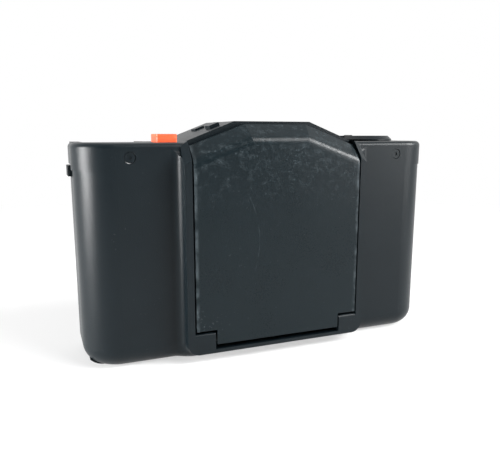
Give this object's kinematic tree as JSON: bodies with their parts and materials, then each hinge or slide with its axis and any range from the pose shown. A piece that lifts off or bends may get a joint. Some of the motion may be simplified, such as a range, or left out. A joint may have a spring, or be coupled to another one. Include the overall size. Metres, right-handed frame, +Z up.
{
  "type": "folding film camera",
  "caption": "Compact viewfinder film camera with a drop-down front door that carries the lens out, a wind lever and a rewind disc.",
  "frame": {"origin": "centre of the underside", "axes": "+Z up, -Y out of the front door, +X towards the rewind disc"},
  "size_m": [0.1006, 0.031, 0.061],
  "materials": {
    "shell": "fine moulded grain",
    "orange": "satin orange",
    "inner_black": "flat black",
    "glass": "coated",
    "steel": "plain",
    "black_metal": "satin black",
    "brass": "plain",
    "board": "varnished board"
  },
  "bodies": {
    "camera_body": {"front_shell": "shell", "top_cover": "shell", "film_chassis": "inner_black", "front_panel": "inner_black", "door_hinge_pins": "steel", "strut_pins": "steel", "finder_tunnel": "inner_black", "finder_objective": "glass", "finder_eyepiece": "glass", "meter_cell": "glass", "screw_plugs": "shell", "circuit_board": "board", "accessory_shoe": "black_metal", "shoe_contact": "brass", "counter_window": "glass"},
    "counter": {"counter_dial": "inner_black"},
    "door": {"front_door": "shell"},
    "strut_left": {"door_strut_left": "black_metal"},
    "strut_right": {"door_strut_right": "black_metal"},
    "lens_unit": {"lens_carrier": "inner_black", "lens_barrel": "black_metal", "shutter_case": "black_metal", "rear_lens": "glass"},
    "aperture": {"aperture_ring": "black_metal"},
    "focus": {"focus_ring": "black_metal", "front_lens_cell": "black_metal", "front_lens": "glass"},
    "back": {"back_cover": "shell", "tripod_bush": "brass", "pressure_plate_spring": "steel"},
    "plate": {"pressure_plate": "black_metal"},
    "speed_dial": {"film_speed_dial": "shell"},
    "lock_key": {"back_lock_key": "shell"},
    "rewind_release": {"rewind_release_button": "steel"},
    "release": {"release_button": "orange"},
    "rewind": {"rewind_knob": "shell"},
    "crank": {"rewind_crank": "black_metal", "crank_pin": "steel"},
    "wind": {"wind_lever": "shell"},
    "spool": {"take_up_spool": "inner_black"},
    "sprocket": {"sprocket_shaft": "inner_black"},
    "timer": {"timer_switch": "shell"},
    "backlight": {"backlight_switch": "shell"}
  },
  "joints": [
    {"name": "door_hinge", "type": "hinge", "parent": "camera_body", "child": "door", "pos_m": [0, -0.0138, 0.0056], "axis": [1, 0, 0], "range_deg": [0, 90]},
    {"name": "lens_slide", "type": "slide", "parent": "camera_body", "child": "lens_unit", "axis": [0, -1, 0], "range_m": [0, 0.016]},
    {"name": "strut_left_pivot", "type": "hinge", "parent": "camera_body", "child": "strut_left", "pos_m": [-0.0206, -0.0119, 0.02], "axis": [1, 0, 0], "range_deg": [0, 130]},
    {"name": "strut_right_pivot", "type": "hinge", "parent": "camera_body", "child": "strut_right", "pos_m": [0.0206, -0.0119, 0.02], "axis": [1, 0, 0], "range_deg": [0, 130]},
    {"name": "aperture_turn", "type": "hinge", "parent": "lens_unit", "child": "aperture", "pos_m": [0, -0.01, 0.029], "axis": [0, 1, 0], "range_deg": [0, 110]},
    {"name": "focus_turn", "type": "hinge", "parent": "lens_unit", "child": "focus", "pos_m": [0, -0.012, 0.029], "axis": [0, 1, 0], "range_deg": [0, 170]},
    {"name": "back_slide", "type": "slide", "parent": "camera_body", "child": "back", "axis": [0, 0, -1], "range_m": [0, 0.06]},
    {"name": "plate_press", "type": "slide", "parent": "back", "child": "plate", "axis": [0, 1, 0], "range_m": [0, 0.0002], "stiffness_N_per_m": 300},
    {"name": "speed_dial_turn", "type": "hinge", "parent": "back", "child": "speed_dial", "pos_m": [0.02783, 0.003, 0.001], "axis": [0, 0, 1], "range_deg": [0, 300]},
    {"name": "lock_key_turn", "type": "hinge", "parent": "back", "child": "lock_key", "pos_m": [-0.02982, 0.003, 0.001], "axis": [0, 0, 1], "range_deg": [0, 90]},
    {"name": "rewind_release_press", "type": "slide", "parent": "back", "child": "rewind_release", "axis": [0, 0, 1], "range_m": [0, 0.0005], "stiffness_N_per_m": 150},
    {"name": "release_press", "type": "slide", "parent": "camera_body", "child": "release", "axis": [0, 0, -1], "range_m": [0, 0.0012], "stiffness_N_per_m": 300, "springref_m": -0.0005},
    {"name": "rewind_turn", "type": "hinge", "parent": "camera_body", "child": "rewind", "pos_m": [0.0355, 0.0029, 0.056], "axis": [0, 0, 1], "continuous": true},
    {"name": "crank_fold", "type": "hinge", "parent": "rewind", "child": "crank", "pos_m": [0.0303, 0.0029, 0.0569], "axis": [0, -1, 0], "range_deg": [0, 165]},
    {"name": "wind_stroke", "type": "hinge", "parent": "camera_body", "child": "wind", "pos_m": [-0.038, 0.008, 0.0487], "axis": [0, 0, -1], "range_deg": [0, 105], "stiffness_Nm_per_rad": 0.01, "springref_deg": -17.19},
    {"name": "counter_turn", "type": "hinge", "parent": "camera_body", "child": "counter", "pos_m": [-0.0269, 0.0059, 0.052], "axis": [0, 0, 1], "continuous": true},
    {"name": "spool_turn", "type": "hinge", "parent": "camera_body", "child": "spool", "pos_m": [-0.036, 0.00205, 0.025], "axis": [0, 0, 1], "continuous": true},
    {"name": "sprocket_turn", "type": "hinge", "parent": "camera_body", "child": "sprocket", "pos_m": [-0.0229, 0.0068, 0.025], "axis": [0, 0, 1], "continuous": true},
    {"name": "timer_slide", "type": "slide", "parent": "camera_body", "child": "timer", "axis": [0, 1, 0], "range_m": [0, 0.002]},
    {"name": "backlight_slide", "type": "slide", "parent": "camera_body", "child": "backlight", "axis": [0, 1, 0], "range_m": [0, 0.002]}
  ],
  "couplings": [
    {"joint": "lens_slide", "follows": "door_hinge", "m_per_rad": 0.01018},
    {"joint": "strut_left_pivot", "follows": "door_hinge", "ratio": 1.34},
    {"joint": "strut_right_pivot", "follows": "door_hinge", "ratio": 1.34}
  ]
}
